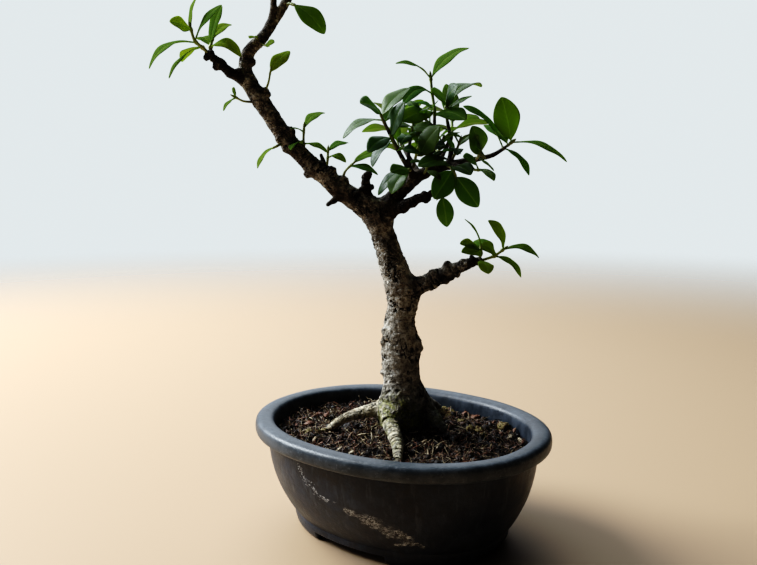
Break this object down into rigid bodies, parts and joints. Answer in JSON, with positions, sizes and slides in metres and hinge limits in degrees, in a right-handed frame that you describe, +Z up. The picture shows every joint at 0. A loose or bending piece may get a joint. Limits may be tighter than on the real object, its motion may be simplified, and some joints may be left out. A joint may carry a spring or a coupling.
{
  "type": "potted bonsai tree",
  "caption": "Small leafy bonsai tree with a forked trunk and spreading surface roots, growing in an oval stoneware pot with a rolled lip and feet.",
  "frame": {"origin": "under the middle of the whole object's box, on the plane the pot's feet stand on", "axes": "+Z up; X along the pot's long side, with the tree leaning towards -X; Y across the pot"},
  "size_m": [0.1914, 0.1768, 0.3613],
  "materials": {
    "pot": "dark charcoal unglazed stoneware with a burnished, blue-grey sheen on the lip and pale mineral marks",
    "soil": "dark brown crumbly potting soil with reddish bark chips and beige root fibres",
    "bark": "grey-brown ringed and fissured living bark, green with moss near the soil",
    "leaf": "glossy deep green leaves with a paler midrib and underside",
    "drain_mesh": "dark matte plastic netting"
  },
  "bodies": {
    "root": {"pot": "pot", "pot_base": "pot", "pot_foot_front_left": "pot", "pot_foot_front_right": "pot", "pot_foot_back_left": "pot", "pot_foot_back_right": "pot", "soil": "soil", "drain_mesh_left": "drain_mesh", "drain_mesh_right": "drain_mesh", "tree": "bark", "shoot_crown_top": "leaf", "shoot_crown_second": "leaf", "shoot_crown_left": "leaf", "shoot_crown_mid_left": "leaf", "shoot_crown_low_left": "leaf", "shoot_crown_inner": "leaf", "shoot_crown_heart": "leaf", "shoot_crown_low": "leaf", "shoot_crown_right": "leaf", "shoot_crown_right_low": "leaf", "shoot_crown_front": "leaf", "shoot_cluster_outer": "leaf", "shoot_cluster_inner": "leaf", "shoot_left_side": "leaf", "shoot_left_under": "leaf", "shoot_left_middle": "leaf", "shoot_left_spur": "leaf", "shoot_left_near_fork": "leaf", "shoot_leader_side": "leaf", "shoot_leader_bud": "leaf", "shoot_leader_left": "leaf", "shoot_leader_right": "leaf", "shoot_lower_end": "leaf", "shoot_back_high": "leaf", "shoot_back_left": "leaf", "shoot_back_middle": "leaf", "shoot_leader_peak": "leaf", "shoot_leader_upper": "leaf", "shoot_leader_lower": "leaf", "shoot_top_twig": "leaf", "shoot_top_side": "leaf", "shoot_peak_twig": "leaf"}
  },
  "joints": []
}
